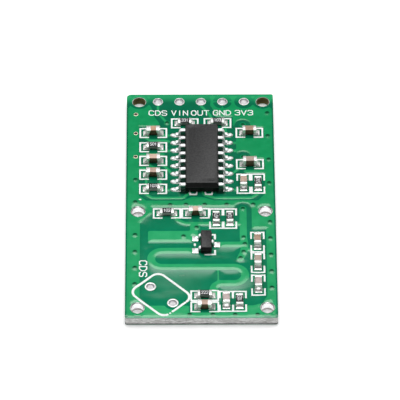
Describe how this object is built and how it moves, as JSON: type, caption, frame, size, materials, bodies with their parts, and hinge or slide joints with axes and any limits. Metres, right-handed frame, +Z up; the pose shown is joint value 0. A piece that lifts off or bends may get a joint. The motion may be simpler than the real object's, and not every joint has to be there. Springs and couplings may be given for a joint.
{
  "type": "microwave radar sensor module",
  "caption": "Small green circuit board with a folded antenna track, a sixteen-pin circuit, chip components and a row of header holes.",
  "frame": {"origin": "middle of the board on its flat underside", "axes": "+X to the right along the header row, +Y from the antenna end to the header row, +Z up from the component face"},
  "size_m": [0.0174, 0.036, 0.0027],
  "materials": {
    "laminate": "woven glass laminate with a rough sawn edge",
    "mask_dark": "glossy dark green mask over bare laminate",
    "mask_over_copper": "glossy lighter green mask over copper",
    "tinned_metal": "bright tin plating",
    "solder": "bright solder, slightly uneven",
    "white_print": "white printed ink",
    "capacitor_ceramic": "tan fired ceramic",
    "end_metal": "plated chip ends",
    "resistor_coat": "black glass coat on white ceramic",
    "moulding": "fine-grained black moulding"
  },
  "bodies": {
    "root": {"laminate_core": "laminate", "top_solder_mask": "mask_dark", "ground_pour": "mask_over_copper", "antenna_track": "mask_over_copper", "feed_strips": "mask_over_copper", "signal_tracks": "mask_over_copper", "bottom_ground_plane": "mask_over_copper", "plated_holes": "tinned_metal", "option_pads": "tinned_metal", "solder_joints": "solder", "silkscreen": "white_print", "capacitor_01_body": "capacitor_ceramic", "capacitor_01_ends": "end_metal", "capacitor_02_body": "capacitor_ceramic", "capacitor_02_ends": "end_metal", "capacitor_03_body": "capacitor_ceramic", "capacitor_03_ends": "end_metal", "capacitor_04_body": "capacitor_ceramic", "capacitor_04_ends": "end_metal", "capacitor_05_body": "capacitor_ceramic", "capacitor_05_ends": "end_metal", "capacitor_06_body": "capacitor_ceramic", "capacitor_06_ends": "end_metal", "capacitor_07_body": "capacitor_ceramic", "capacitor_07_ends": "end_metal", "capacitor_08_body": "capacitor_ceramic", "capacitor_08_ends": "end_metal", "capacitor_09_body": "capacitor_ceramic", "capacitor_09_ends": "end_metal", "capacitor_10_body": "capacitor_ceramic", "capacitor_10_ends": "end_metal", "capacitor_11_body": "capacitor_ceramic", "capacitor_11_ends": "end_metal", "capacitor_12_body": "capacitor_ceramic", "capacitor_12_ends": "end_metal", "resistor_01_body": "resistor_coat", "resistor_01_ends": "end_metal", "resistor_02_body": "resistor_coat", "resistor_02_ends": "end_metal", "resistor_03_body": "resistor_coat", "resistor_03_ends": "end_metal", "resistor_04_body": "resistor_coat", "resistor_04_ends": "end_metal", "resistor_05_body": "resistor_coat", "resistor_05_ends": "end_metal", "resistor_06_body": "resistor_coat", "resistor_06_ends": "end_metal", "resistor_07_body": "resistor_coat", "resistor_07_ends": "end_metal", "resistor_08_body": "resistor_coat", "resistor_08_ends": "end_metal", "resistor_09_body": "resistor_coat", "resistor_09_ends": "end_metal", "resistor_10_body": "resistor_coat", "resistor_10_ends": "end_metal", "circuit_body": "moulding", "circuit_leads": "tinned_metal", "transistor_body": "moulding", "transistor_leads": "tinned_metal"}
  },
  "joints": []
}
